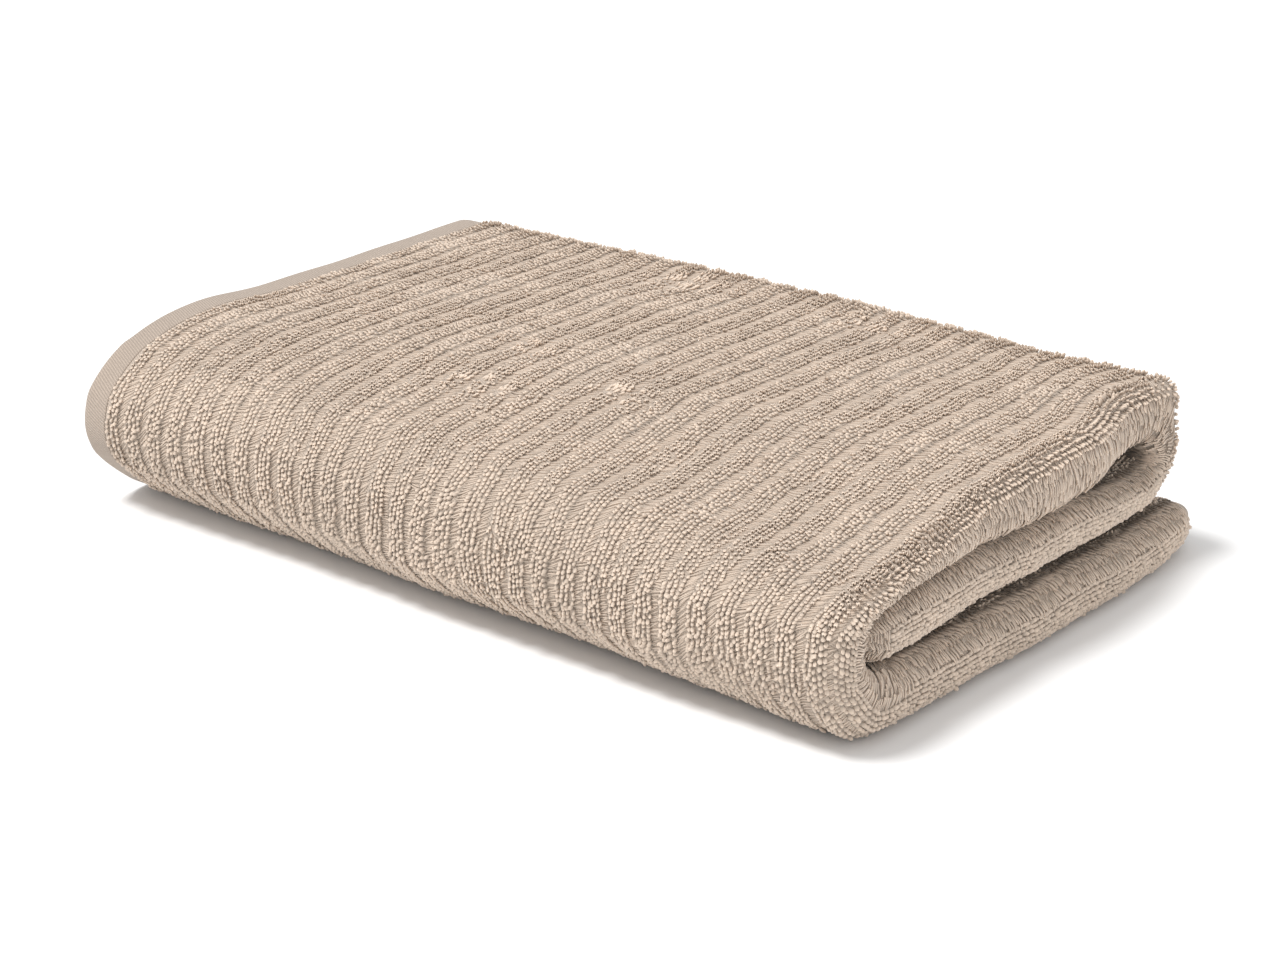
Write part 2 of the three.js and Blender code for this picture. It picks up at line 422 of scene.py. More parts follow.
def slab_maps(grid_s, grid_w, quads):
    """The weave map, in millimetres of cloth, and the bake map, with the upper face over the lower."""
    skin = np.interp(grid_s, CLOTH_KNOTS, SKIN_KNOTS) + np.minimum(grid_s - PILE_START, 0)
    skin = skin + np.maximum(grid_s - S_IN, 0)
    weave = np.stack([skin, skin_w(grid_w)], -1).reshape(-1, 2)
    weave = np.concatenate([weave, weave + [0.5, 0]])
    first_s, last_s, first_w, last_w = grid_s[0, 0], grid_s[-1, 0], grid_w[0, 0], grid_w[0, -1]
    flat_u = (grid_s - first_s) / (last_s - first_s)
    flat_v = (grid_w - first_w) / (last_w - first_w)
    bake = np.stack([flat_u * 0.98 + 0.01, flat_v * 0.47 + 0.01], -1).reshape(-1, 2)
    bake = np.concatenate([bake, bake + [0, 0.5]])
    return [("weave", weave[quads]), ("OFBake", bake[quads])]


def slab(name, s, w, upper, lower, material):
    """A closed sheet of cloth over the grid s by w, between two heights, and the w of its vertices."""
    grid_s, grid_w = np.meshgrid(s, w, indexing="ij")
    points = np.concatenate([place(grid_s, grid_w, h).reshape(-1, 3) for h in (upper, lower)])
    index = np.arange(grid_s.size).reshape(grid_s.shape)
    under = index + grid_s.size
    quads = closed_quads(index, under)
    obj = make_mesh(name, points, quads, material, slab_maps(grid_s, grid_w, quads))
    # The rim of a cut between two zones is marked sharp, so that its shading stays flat.
    rim = np.zeros(len(points), bool)
    for cut, column in ((w[0] > 1, 0), (w[-1] < course.length - 1, -1)):
        if cut:
            rim[index[:, column]] = rim[under[:, column]] = True
    ends = np.zeros(len(obj.data.edges) * 2, np.int32)
    obj.data.edges.foreach_get("vertices", ends)
    sharp = rim[ends].reshape(-1, 2).all(1)
    obj.data.attributes.new("sharp_edge", "BOOLEAN", "EDGE").data.foreach_set("value", sharp)
    return obj, np.tile(grid_w.ravel(), 2)


# ---------------------------------------------------------------- materials

TERRY = np.array([0.65, 0.535, 0.437])
HEM = np.array([0.45, 0.368, 0.302])


def new_material(name):
    material = bpy.data.materials.new(name)
    material.use_nodes = True
    tree = material.node_tree
    shader = tree.nodes["Principled BSDF"]
    return material, tree, shader


def node(tree, kind, **settings):
    made = tree.nodes.new(kind)
    for key, value in settings.items():
        if key in made.inputs:
            made.inputs[key].default_value = value
        else:
            setattr(made, key, value)
    return made


def ramp(tree, factor, *stops):
    made = tree.nodes.new("ShaderNodeValToRGB")
    elements = made.color_ramp.elements
    while len(elements) < len(stops):
        elements.new(0.5)
    for element, (position, colour) in zip(elements, stops):
        element.position = position
        element.color = (*colour, 1)
    tree.links.new(factor, made.inputs["Fac"])
    return made.outputs["Color"]


def multiply(tree, a, b):
    mix = tree.nodes.new("ShaderNodeMix")
    mix.data_type = "RGBA"
    mix.blend_type = "MULTIPLY"
    mix.inputs["Factor"].default_value = 1.0
    tree.links.new(a, mix.inputs["A"])
    tree.links.new(b, mix.inputs["B"])
    return mix.outputs["Result"]


def patchy(tree, colour, strength):
    """Soft lighter and darker areas, as pile shows where it has been brushed one way or the other."""
    where = node(tree, "ShaderNodeTexCoord")
    large = node(tree, "ShaderNodeTexNoise", Scale=28.0, Detail=3.0, Roughness=0.6)
    tree.links.new(where.outputs["Object"], large.inputs["Vector"])
    tone = ramp(tree, large.outputs["Fac"], (0.3, (1 - strength,) * 3), (0.7, (1 + strength,) * 3))
    return multiply(tree, colour, tone)


def cotton(shader, roughness, specular, sheen):
    shader.inputs["Roughness"].default_value = roughness
    shader.inputs["Specular IOR Level"].default_value = specular
    shader.inputs["Sheen Weight"].default_value = sheen
    shader.inputs["Sheen Roughness"].default_value = 0.5


def loops_material():
    """Cotton pile loops: painted shade darkens each loop's foot and a painted highlight lightens its tip, and
    each one differs a little in tone.
    """
    material, tree, shader = new_material("terry_loops")
    painted_light = node(tree, "ShaderNodeAttribute", attribute_name="painted_light")
    tone = node(tree, "ShaderNodeAttribute", attribute_name="tone")
    # Painted shade and highlight: the ramp runs from a darkened foot through the cotton's colour to a
    # lightened tip.
    along = ramp(tree, painted_light.outputs["Fac"], (0.0, TERRY * 0.26), (0.5, TERRY * 0.95), (1.0, TERRY * 1.24))
    each = ramp(tree, tone.outputs["Fac"], (0.0, (0.9, 0.9, 0.9)), (1.0, (1.08, 1.075, 1.07)))
    colour = patchy(tree, multiply(tree, along, each), 0.045)
    tree.links.new(colour, shader.inputs["Base Color"])
    where = node(tree, "ShaderNodeTexCoord")
    twist = node(tree, "ShaderNodeTexNoise", Scale=5200.0, Detail=2.0)
    relief = node(tree, "ShaderNodeBump", Strength=0.35, Distance=0.0001)
    tree.links.new(where.outputs["Object"], twist.inputs["Vector"])
    tree.links.new(twist.outputs["Fac"], relief.inputs["Height"])
    tree.links.new(relief.outputs["Normal"], shader.inputs["Normal"])
    cotton(shader, 0.92, 0.2, 0.25)
    return material


def woven_material(name, colour, tick, across, depth):
    """Flat woven cotton: fine picks one way and a slower beat the other, read from the weave map."""
    material, tree, shader = new_material(name)
    uv = node(tree, "ShaderNodeUVMap", uv_map="weave")
    split = node(tree, "ShaderNodeSeparateXYZ")
    tree.links.new(uv.outputs["UV"], split.inputs["Vector"])
    wobble = node(tree, "ShaderNodeTexNoise", Scale=0.9, Detail=2.0)
    tree.links.new(uv.outputs["UV"], wobble.inputs["Vector"])

    def multiply_add(value, factor, add):
        made = node(tree, "ShaderNodeMath", operation="MULTIPLY_ADD")
        tree.links.new(value, made.inputs[0])
        made.inputs[1].default_value = factor
        tree.links.new(add, made.inputs[2])
        return made.outputs["Value"]

    def beat(axis, other, pitch, lean):
        stray = node(tree, "ShaderNodeMath", operation="MULTIPLY")
        tree.links.new(wobble.outputs["Fac"], stray.inputs[0])
        stray.inputs[1].default_value = 3.5
        shift = multiply_add(split.outputs[other], lean * math.tau / pitch, stray.outputs["Value"])
        wave = node(tree, "ShaderNodeMath", operation="SINE")
        tree.links.new(multiply_add(split.outputs[axis], math.tau / pitch, shift), wave.inputs[0])
        return wave.outputs["Value"]

    picks, slower = beat("Y", "X", tick, 0.45), beat("X", "Y", across, 0.0)
    unit = node(tree, "ShaderNodeMapRange")
    tree.links.new(multiply_add(slower, 0.35, picks), unit.inputs["Value"])
    unit.inputs["From Min"].default_value, unit.inputs["From Max"].default_value = -1.35, 1.35
    shade = ramp(tree, unit.outputs["Result"], (0.0, colour * 0.72), (0.6, colour), (1.0, colour * 1.12))
    tree.links.new(patchy(tree, shade, 0.04), shader.inputs["Base Color"])
    relief = node(tree, "ShaderNodeBump", Strength=0.8, Distance=depth)
    tree.links.new(unit.outputs["Result"], relief.inputs["Height"])
    tree.links.new(relief.outputs["Normal"], shader.inputs["Normal"])
    cotton(shader, 0.9, 0.25, 0.2)
    return material


loops_look = loops_material()
ground_look = woven_material("terry_ground", TERRY * 0.8, 1.05, 0.9, 0.0003)
hem_look = woven_material("hem_twill", HEM, 1.15, 0.9, 0.0004)

# ---------------------------------------------------------------- sheets and hems

RIB_HEIGHT, GROOVE_HEIGHT = 1.4, 0.85
UNDER_HEIGHT, HIDDEN_HEIGHT = -2.25, 2.25
HEM_HALF = 1.4
LOOP_FREE = 8.0  # the width of the selvedges, which have no pile
EDGE_RIB_END, LIP_SHORTER, FOLD_SHORTER = 20.0, 11.0, 4.8


def round_near_fold(w):
    """1 on the outside of the near fold, falling to 0 on the arms."""
    return smooth(w, W_NEAR - 12, W_NEAR) * (1 - smooth(w, W_TOP - 5, W_TOP + 15))


def edge_rib_end(w):
    """How far round the right-hand end the last rib reaches: further on the lower arms than on the top."""
    upper = smooth(w, W_NEAR + 0.6 * NEAR_TURN, W_TOP + 10) * (1 - smooth(w, W_FAR, W_MIDDLE))
    return EDGE_RIB_END - LIP_SHORTER * upper - FOLD_SHORTER * round_near_fold(w) * (1 - upper)


def ground_height(s, w):
    """The woven ground: raised under each rib of pile, low in the grooves, plain at the selvedges."""
    skin = np.interp(s, CLOTH_KNOTS, SKIN_KNOTS)
    phase = skin % RIB_PITCH
    rib = smooth(phase, -0.1, 0.7) * (1 - smooth(phase, RIB_WIDTH - 0.7, RIB_WIDTH + 0.1))
    end = smooth(skin, T_WRAP - 2, T_WRAP) * (1 - smooth(skin, T_BACK + 3, T_BACK + 5))
    rib = np.maximum(rib, end * (1 - round_near_fold(w) * (skin < T_WRAP + 9)))
    rib = rib * smooth(np.minimum(w, course.length - w), LOOP_FREE - 1, LOOP_FREE + 2)
    height = GROOVE_HEIGHT + (RIB_HEIGHT - GROOVE_HEIGHT) * rib
    height = np.where(s < PILE_START, GROOVE_HEIGHT, height)
    return height + (HIDDEN_HEIGHT - height) * smooth(s, S_IN - 2, S_IN + 4)


def round_off(inside, radius):
    """1 well inside the cloth and falling to a rounded edge."""
    t = np.clip(inside / radius, 0, 1)
    return np.sqrt(np.maximum(1 - (1 - t) ** 2, 0.02))


def sheet_rows():
    """Where a sheet has its columns: at the edges of each rib, and further apart in the hidden layers."""
    ribs = int(T_END // RIB_PITCH) + 1
    steps = np.array([0, 0.35, 0.8, 2.4, 4.3, 5.92, 6.37, 6.82, 8.3, 9.8])
    skin = (np.arange(ribs)[:, None] * RIB_PITCH + steps).ravel()
    skin = skin[skin < T_END - 0.3]
    ribbed = np.interp(skin, SKIN_KNOTS, CLOTH_KNOTS)
    hidden = [spread(S_IN, S_INNER_WRAP, 14.0)[:-1], spread(S_INNER_WRAP, S_LAST, 1.2)[:-1]]
    hidden.append(spread(S_LAST, profile.length - 3, 14.0))
    return np.concatenate([[PILE_START - 2.5, PILE_START - 1.2], ribbed] + hidden + [[profile.length - 1.2]])


def cloth_sheet(zone, rows, w):
    grid_s, grid_w = np.meshgrid(rows, w, indexing="ij")
    edge = np.minimum(grid_w, course.length - grid_w)
    body = round_off(edge, 3.0) * round_off(grid_s - rows[0] + 0.4, 1.0)
    body = body * round_off(profile.length - grid_s, 3.0)
    upper, lower = ground_height(grid_s, grid_w) * body, UNDER_HEIGHT * body
    sheet, vertex_w = slab(f"cloth_{zone.name}", rows, w, upper, lower, ground_look)
    put_on_bodies(sheet, zone)
    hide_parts(*zone.nodes)
    return sheet


def hem_band(zone, side, w):
    """The loop-free band at one end of the cloth: outer shows at the left, inner is rolled inside."""
    start, end = (0.0, HEM_WIDTH + 0.4) if side == "outer" else (profile.length - HEM_WIDTH, profile.length)
    first_rows, last_rows = [start, start + 0.4, start + 1.2], [end - 1.2, end - 0.4, end]
    rows = np.concatenate([first_rows, spread(start + 3, end - 3, 2.0), last_rows])
    grid_s, grid_w = np.meshgrid(rows, w, indexing="ij")
    edge = np.minimum(grid_w, course.length - grid_w)
    free = grid_s - start if side == "outer" else end - grid_s
    body = HEM_HALF * round_off(edge, 2.2) * round_off(free, 1.8)
    hem, vertex_w = slab(f"hem_{side}_{zone.name}", rows, w, body, -body, hem_look)
    put_on_bodies(hem, zone)
    stems = [stem for stem in zone.nodes if not stem.endswith("selvedge")]
    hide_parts(*(f"{stem}_hem_{side}" for stem in stems))
    return hem


ROWS = sheet_rows()
sheets, hems = {}, {}
for zone in ZONES:
    stations = stations_w(zone.first, zone.last)
    sheets[zone.name] = cloth_sheet(zone, ROWS, stations)
    hems[zone.name] = [hem_band(zone, side, stations) for side in ("outer", "inner")]

# ---------------------------------------------------------------- tubes of yarn

FLIPPED = [0, 3, 2, 1]


def tube(bands, sides):
    """The quads of a tube of rings, and each quad's corners in shares of the tube's length and turn."""
    spots = [(i, j) for i in range(bands) for j in range(sides)]
    ring = [i * sides + j for i, j in spots]
    beside = [i * sides + (j + 1) % sides for i, j in spots]
    quads = np.stack([ring, beside, np.array(beside) + sides, np.array(ring) + sides], -1)
    corners = [[(i, j), (i, j + 1), (i + 1, j + 1), (i + 1, j)] for i, j in spots]
    return quads, np.array(corners) / [bands, sides]


def yarn_mesh(name, vertices, quads, corners, painted_light, tone, zone):
    """Many copies of one tube as one mesh. vertices, the painted light share and tone have a row for each
    copy.
    """
    count, points = vertices.shape[:2]
    vertices = vertices.reshape(-1, 3)
    vertices[:, 2] = np.maximum(vertices[:, 2], 0.1)
    faces = (np.arange(count)[:, None, None] * points + quads[None]).reshape(-1, 4)
    cells = int(math.ceil(math.sqrt(count)))
    cell = np.stack([np.arange(count) % cells, np.arange(count) // cells], -1) / cells
    corners = corners.reshape(-1, 2) * 0.8 + 0.1
    bake = (cell[:, None] + corners[None] / cells).reshape(-1, 2)
    # Each point's light share goes to the material, which paints it as shade at low values and as highlight
    # at high ones.
    values = [("painted_light", painted_light.ravel()), ("tone", np.repeat(tone, points))]
    obj = make_mesh(name, vertices, faces, loops_look, [("OFBake", bake)], values)
    put_on_bodies(obj, zone)
    return obj


# ---------------------------------------------------------------- pile loops

COLUMNS = 5
COLUMN_START, COLUMN_STEP = 0.45, 1.95
NARROW_RIB = 7.4  # the last of the columns lies past this, and stands only where a rib is wide
WRAP_COLUMN_START, WRAP_COLUMN_END, WRAP_COLUMN_STEP = 1.0, 21, 1.75
JITTER = 0.2
# Distances between the loops of a column, by where they stand.
SHOWN, UNDERSIDE, INNER, INNER_BEND, CORE = 1.74, 2.6, 2.1, 1.25, 2.2
# Where the pile on the top has been brushed aside: middle x and y, and how far each patch reaches.
BRUSHED = ((-23, -60, 24, 11), (-34, 74, 22, 12), (46, 78, 20, 9), (25, -40, 18, 8), (-38, -22, 14, 8))
# Each loop is two legs of yarn lying together: rings of (height, half width, half thickness) and an outline.
PAIRED = [(1, 0), (0.6, 0.95), (0, 0.5), (-0.6, 0.95), (-1, 0), (-0.6, -0.95), (0, -0.5), (0.6, -0.95)]
PLAIN = [(1, 0), (0, 1), (-1, 0), (0, -1)]
FULL = dict(
    rings=[(-0.5, 0.3, 0.26), (0.6, 0.47, 0.36), (1.45, 0.73, 0.5), (2.1, 0.61, 0.46), (2.4, 0.2, 0.2)],
    outline=PAIRED,
)
LIGHT = dict(rings=[(-0.5, 0.4, 0.35), (1.3, 0.8, 0.6), (2.3, 0.3, 0.3)], outline=PLAIN)


def loop_template(rings, outline):
    """One loop as points in (across, through, up), and each point's share of the height."""
    rings, outline = np.array(rings), np.array(outline)
    flat = rings[:, None, 1:] * outline[None]
    up = np.broadcast_to(rings[:, None, :1], flat.shape[:2] + (1,)).copy()
    up[:, :, 0] -= 0.12 * np.abs(outline[None, :, 0]) * (rings[:, None, 0] > 1.5)
    points = np.concatenate([flat, up], -1).reshape(-1, 3)
    return points, np.clip(points[:, 2] / rings[-1, 0], 0, 1)


def axes_at(s, w, h):
    """The place of each point of the cloth, and its unit directions along s, along w and outward."""
    middle = place(s, w, h)
    along_s = place(s + 0.4, w, h) - place(s - 0.4, w, h)
    along_w = place(s, w + 0.4, h) - place(s, w - 0.4, h)
    out = np.cross(along_s, along_w)
    out /= np.linalg.norm(out, axis=1)[:, None]
    along_s /= np.linalg.norm(along_s, axis=1)[:, None]
    return middle, along_s, np.cross(out, along_s), out


def skin_gain(piece, depth):
    """How much longer the skin at this depth is than the cloth's middle, along one piece of the course."""
    if piece == ON_NEAR:
        return (NEAR_RADIUS - depth) / (NEAR_RADIUS - MID)
    if piece == ON_FAR:
        return (FAR_RADIUS - depth) / (FAR_RADIUS - MID)
    return 1.0


def rib_columns(skin_from, skin_to):
    """The columns of loops on the ribs between two skin lengths."""
    ribs = np.arange(int(skin_from // RIB_PITCH), int(skin_to // RIB_PITCH) + 1)
    columns = (ribs[:, None] * RIB_PITCH + COLUMN_START + np.arange(COLUMNS) * COLUMN_STEP).ravel()
    return columns[(columns >= skin_from) & (columns < skin_to)]


def loop_places(rng, columns, piece, spacing, depth):
    """Cloth coordinates of the loops of these columns, along one piece of the course."""
    start, run = course.pieces[piece][:2]
    count = int(run * skin_gain(piece, depth) / spacing)
    steps = (np.arange(count) + 0.5) / count
    skin, along = np.meshgrid(columns, steps, indexing="ij")
    along = along + (np.arange(len(columns))[:, None] % 2) * 0.5 / count
    along = along + rng.uniform(-JITTER, JITTER, along.shape) / count
    skin = skin + rng.uniform(-JITTER, JITTER, skin.shape)
    return skin.ravel(), (start + np.clip(along, 0, 1) * run).ravel()


def brushing(base, out, wrap):
    """0 to 1: how far the pile here has been brushed aside, in broken patches on the top."""
    brushed = np.zeros(len(base))
    for x, y, reach_x, reach_y in BRUSHED:
        brushed = np.maximum(brushed, bump(base[:, 0], x, reach_x) * bump(base[:, 1], y, reach_y))
    broken = smooth(drift(base[:, 0], base[:, 1], 14, 83), -0.5, 0.3)
    return brushed * (out[:, 2] > 0.6) * (1 - wrap) * broken


def build_loops(name, zone, kind, skin, w, rng):
    """All the loops of one zone and kind as one mesh."""
    points, height = loop_template(**kind)
    s = np.interp(skin, SKIN_KNOTS, CLOTH_KNOTS)
    base, along_s, along_w, out = axes_at(s, w, ground_height(s, w) - 0.15)
    count = len(s)

    # Shares of each kind of place: round the right-hand end, the top arm's lip there and the cords of the
    # lower arms, level stretches of the arms, and the back of the far fold.
    wrap = smooth(skin, T_WRAP - 2, T_WRAP + 3) * (1 - smooth(skin, T_BACK - 3, T_BACK + 3))
    lip = smooth(w, W_NEAR + 0.5 * NEAR_TURN, W_TOP) * (1 - smooth(w, W_FAR, W_MIDDLE)) * wrap
    cord = wrap - lip
    level = smooth(np.abs(out[:, 2]), 0.2, 0.9) * (1 - wrap)
    back = smooth(w, W_FAR - 15, W_FAR + 12) * (1 - smooth(w, W_MIDDLE - 12, W_MIDDLE + 10)) * (1 - wrap)
    turning = smooth(w, W_FAR - 10, W_FAR + 8) * (1 - smooth(w, W_MIDDLE - 8, W_MIDDLE + 10)) * wrap
    brushed = brushing(base, out, wrap)
    calm = 1 - 0.65 * np.maximum(cord, level)

    # Which way each loop leans along the cloth, how far, and how much it hangs.
    heading = (1.3 - 0.5 * level - cord) * drift(base[:, 0], base[:, 1] + base[:, 2], 50, 53)
    heading = heading + rng.normal(0, 0.4, count) * calm
    heading = heading + brushed * (1.9 + rng.normal(0, 0.5, count))
    lean = np.clip(rng.normal(1.0, 0.22, count), 0.3, 1.7) * (1 - 0.5 * lip + 1.2 * cord)
    lean = lean * (1 + 1.5 * level) * (1 - 0.8 * back)
    sway = np.sin(heading)[:, None] * along_s * (1 - 0.6 * cord[:, None])
    sway = sway - np.cos(heading)[:, None] * along_w
    droop = (0.7 + lip - 0.6 * cord + 0.8 * back) * (1 - 0.8 * brushed)
    down = out * out[:, 2:3] - [0, 0, 1]
    tilt = lean[:, None] * sway + droop[:, None] * down

    # The loop's own axes: up its length, across its width and through its thickness.
    up = out + tilt
    up /= np.linalg.norm(up, axis=1)[:, None]
    flat = np.cross(out, tilt / np.linalg.norm(tilt, axis=1)[:, None])
    flat /= np.linalg.norm(flat, axis=1)[:, None]
    swing = (rng.normal(0, 0.3, count) * calm)[:, None]
    across = np.cos(swing) * flat + np.sin(swing) * np.cross(up, flat)
    through = np.cross(up, across)

    size = rng.uniform(0.88, 1.12, count) * (1 - 0.06 * level)
    tall = size * (1 + 0.3 * lip + 0.35 * brushed) * (1 - 0.35 * turning) * rng.uniform(0.9, 1.12, count)
    wide = size * (1 - 0.15 * lip + 0.12 * cord)
    local = (
        across[:, None] * (points[None, :, 0:1] * wide[:, None, None])
        + through[:, None] * (points[None, :, 1:2] * size[:, None, None])
        + up[:, None] * (points[None, :, 2:3] * tall[:, None, None])
    )
    quads, corners = tube(len(kind["rings"]) - 1, len(kind["outline"]))
    # Painted light: each point's share of the loop's height sets its painted shade near the foot and its
    # painted highlight near the tip, and loops brushed flat get less painted shade.
    painted_light = np.clip(height[None] + 0.3 * brushed[:, None], 0, 1)
    tone = rng.uniform(0, 1, count)
    return yarn_mesh(name, base[:, None] + local, quads, corners, painted_light, tone, zone)


def keeps_loop(skin, w):
    """Whether a loop stands here: none do at a selvedge, in a groove, beside the hem or among the strands."""
    phase = skin % RIB_PITCH
    wrapped = (skin > T_WRAP) & (skin < T_BACK)
    easier = 0.75 * smooth(skin, T_WRAP * 0.35, T_WRAP * 0.95) * (1 - smooth(w, W_TOP - 10, W_TOP + 10))
    wide_rib = (skin < T_WRAP) & (drift(skin, w, 46, 67) > 0.8 - easier)
    last_groove = (phase >= 8.3) & (phase <= 10.4) & (round_near_fold(w) >= 0.5 + 0.45 * np.sin(skin * 2.9))
    kept = (w > LOOP_FREE) & (course.length - w > LOOP_FREE)
    kept &= (skin < T_WRAP + edge_rib_end(w)) | (skin > T_BACK)
    kept &= (skin > RIB_PITCH * 0.15) & ((phase < NARROW_RIB) | wrapped | wide_rib)
    return kept & ~(wrapped & last_groove)


def all_loops():
    """Where every loop stands, in two sets: full loops on what shows, light ones underneath or inside."""
    rng = np.random.default_rng(7)
    sparser = 1.0
    outer, back, core = rib_columns(0, T_WRAP), rib_columns(T_BACK, T_CROSS), rib_columns(T_CROSS, T_END)
    wrap = np.arange(T_WRAP + WRAP_COLUMN_START, T_WRAP + WRAP_COLUMN_END, WRAP_COLUMN_STEP)
    wrap = wrap[wrap < T_BACK]
    full, light = [], []
    for piece in (ON_NEAR, ON_TOP, ON_FAR):
        full.append(loop_places(rng, outer, piece, SHOWN * sparser, 0))
    for piece in (ON_BOTTOM, ON_NEAR, ON_TOP, ON_FAR, ON_TUCKED):
        depth = MID if piece in (ON_NEAR, ON_FAR) else 0
        full.append(loop_places(rng, wrap, piece, SHOWN * sparser, depth))
        light.append(loop_places(rng, core, piece, CORE * sparser, depth))
    light.append(loop_places(rng, outer, ON_BOTTOM, UNDERSIDE * sparser, 0))
    light.append(loop_places(rng, outer, ON_TUCKED, SHOWN * sparser, 0))
    light.append(loop_places(rng, back, ON_BOTTOM, INNER * sparser, ARM))
    light.append(loop_places(rng, back, ON_NEAR, INNER_BEND * sparser, ARM))
    for piece in (ON_TOP, ON_TUCKED):
        # Deep between two arms nothing shows, so only the loops near an opening are made.
        skin, w = loop_places(rng, back, piece, INNER * sparser, ARM)
        opening = (w < W_TOP + 16) | (w > course.length - 24)
        kept = opening | (skin < T_BACK + 34) | (skin > T_CROSS - 12)
        light.append((skin[kept], w[kept]))
    result = []
    for group in (full, light):
        skin, w = (np.concatenate([places[axis] for places in group]) for axis in (0, 1))
        kept = keeps_loop(skin, w)
        result.append((skin[kept], w[kept]))
    return result


# ---------------------------------------------------------------- strands

STRAND_SIDES = 4
FLOAT_YARN, EDGE_YARN = 0.33, 0.36
FLOAT_PITCH, EDGE_PITCH, EDGE_ROW_PITCH, EDGE_ROW_COUNT = 0.98, 1.02, 4.2, 10
NOSE_STRANDS = (1.1, 0.75, 0.45, 0.2)  # how far from the end of the tucked arm's nose
NOSE_STRANDS_START = -5.0


def build_strands(name, zone, skin, w, lift, shade, yarn, rng):
    """Lengths of yarn on the ground. skin, w, lift and shade are given as (strands, points); shade sets each
    point's painted shade and painted highlight.
    """
    count, steps = skin.shape
    s = np.interp(skin, SKIN_KNOTS, CLOTH_KNOTS)
    height = ground_height(s, w) + lift
    middle = place(s, w, height)
    out = place(s, w, height + 0.5) - middle
    along = np.gradient(middle, axis=1)
    side = np.cross(along, out)
    side /= np.linalg.norm(side, axis=2)[:, :, None]
    out = np.cross(side, along)
    out /= np.linalg.norm(out, axis=2)[:, :, None]
    angles = (np.arange(STRAND_SIDES) + 0.5) * math.tau / STRAND_SIDES
    thick = yarn * rng.uniform(0.85, 1.1, count)[:, None, None, None]
    ring = np.cos(angles)[:, None] * side[:, :, None] + np.sin(angles)[:, None] * out[:, :, None]
    vertices = (middle[:, :, None] + thick * ring).reshape(count, -1, 3)
    quads, corners = tube(steps - 1, STRAND_SIDES)
    # The shade share is painted through the loops' ramp: painted shade at low values, painted highlight at
    # high ones.
    painted_light = np.repeat(shade, STRAND_SIDES, axis=1)
    tone = rng.uniform(0, 1, count)
    quads, corners = quads[:, FLIPPED], corners[:, FLIPPED]
    return yarn_mesh(name, vertices, quads, corners, painted_light, tone, zone)


def along_course(piece, spacing, depth):
    """Evenly spaced places along one piece of the course, in w, with the skin's own spacing."""
    start, run = course.pieces[piece][:2]
    count = int(run * skin_gain(piece, depth) / spacing)
    return start + (np.arange(count) + 0.5) / count * run


def groove_strands(rng):
    """Slanted floats of yarn across the grooves of the outer face."""
    w = np.concatenate([along_course(piece, FLOAT_PITCH, 0) for piece in range(len(course.pieces))])
    grooves = np.arange(int(T_WRAP // RIB_PITCH) + 1)
    skin, w = np.meshgrid(grooves * RIB_PITCH + RIB_WIDTH - 0.4, w, indexing="ij")
    skin, w = skin.ravel(), w.ravel()
    kept = (skin < T_WRAP) | (round_near_fold(w) > 0.5)
    skin, w = skin[kept], w[kept]
    reach = np.linspace(0, 1, 4)
    length = rng.uniform(3.4, 5.0, len(w))
    slant = 1.6 + 1.2 * drift(skin, w, 60, 61) + rng.normal(0, 0.45, len(w))
    across = skin[:, None] + reach * length[:, None] + rng.normal(0, 0.3, len(w))[:, None]
    along = w[:, None] + (reach - 0.5) * slant[:, None] + rng.normal(0, 0.18, (len(w), 1))
    lift = -0.04 + 0.12 * np.sin(reach * math.pi) + rng.normal(0, 0.07, (len(w), 1))
    # Painted shade: the floats are painted in the darker middle of the loops' ramp, a little lighter at their
    # raised middle.
    shade = 0.3 + 0.22 * np.sin(np.linspace(0.15, math.pi - 0.15, 4))
    return across, along, np.broadcast_to(lift, across.shape), np.broadcast_to(shade, across.shape)


def edge_strands(rng):
    """Long strands drawn round the right-hand end of the fold."""
    w = []
    for piece in range(len(course.pieces)):
        w.append(along_course(piece, EDGE_PITCH, MID if piece in (ON_NEAR, ON_FAR) else 0))
    w = np.concatenate([*w, course.length - np.array(NOSE_STRANDS)])
    rows, w = np.meshgrid(np.arange(EDGE_ROW_COUNT), w, indexing="ij")
    rows, w = rows.ravel(), w.ravel()
    start = np.where(course.length - w < LOOP_FREE + 1, NOSE_STRANDS_START, edge_rib_end(w) - 1.0)
    skin = T_WRAP + start + rows * EDGE_ROW_PITCH + rng.uniform(-1.3, 1.3, len(w))
    skin = skin + drift(w, rows * 30, 40, 71)
    kept = skin < T_BACK + 2
    skin, w = skin[kept], w[kept]
    reach = np.linspace(0, 1, 5)
    length = rng.uniform(3.8, 5.6, len(w))
    wave = 0.36 * np.sin(reach * 4.8 + rng.uniform(0, 0.5, (len(w), 1)) + skin[:, None] * 0.9)
    slant = 0.8 * drift(skin, w, 30, 67) + rng.normal(0, 0.18, len(w))
    across = skin[:, None] + reach * length[:, None]
    along = w[:, None] + wave + (reach - 0.5) * slant[:, None]
    # On the lip and the near fold the far end of a strand hangs free, and on the lower arms the near end.
    falling = edge_rib_end(w)[:, None] < 16
    hang = np.where(falling, reach, 1 - reach)
    lift = -0.1 + rng.uniform(0.5, 1.3, (len(w), 1)) * hang**0.8
    # Painted shade: the strands are darkened towards the back of the fold, and each is painted lighter where
    # it hangs free and darker at its foot.
    painted_seam_shade = smooth(across, T_BACK - 7, T_BACK + 3)
    return across, along, lift, (0.3 + 0.5 * hang) * (1 - 0.9 * painted_seam_shade)


# ---------------------------------------------------------------- the whole pile

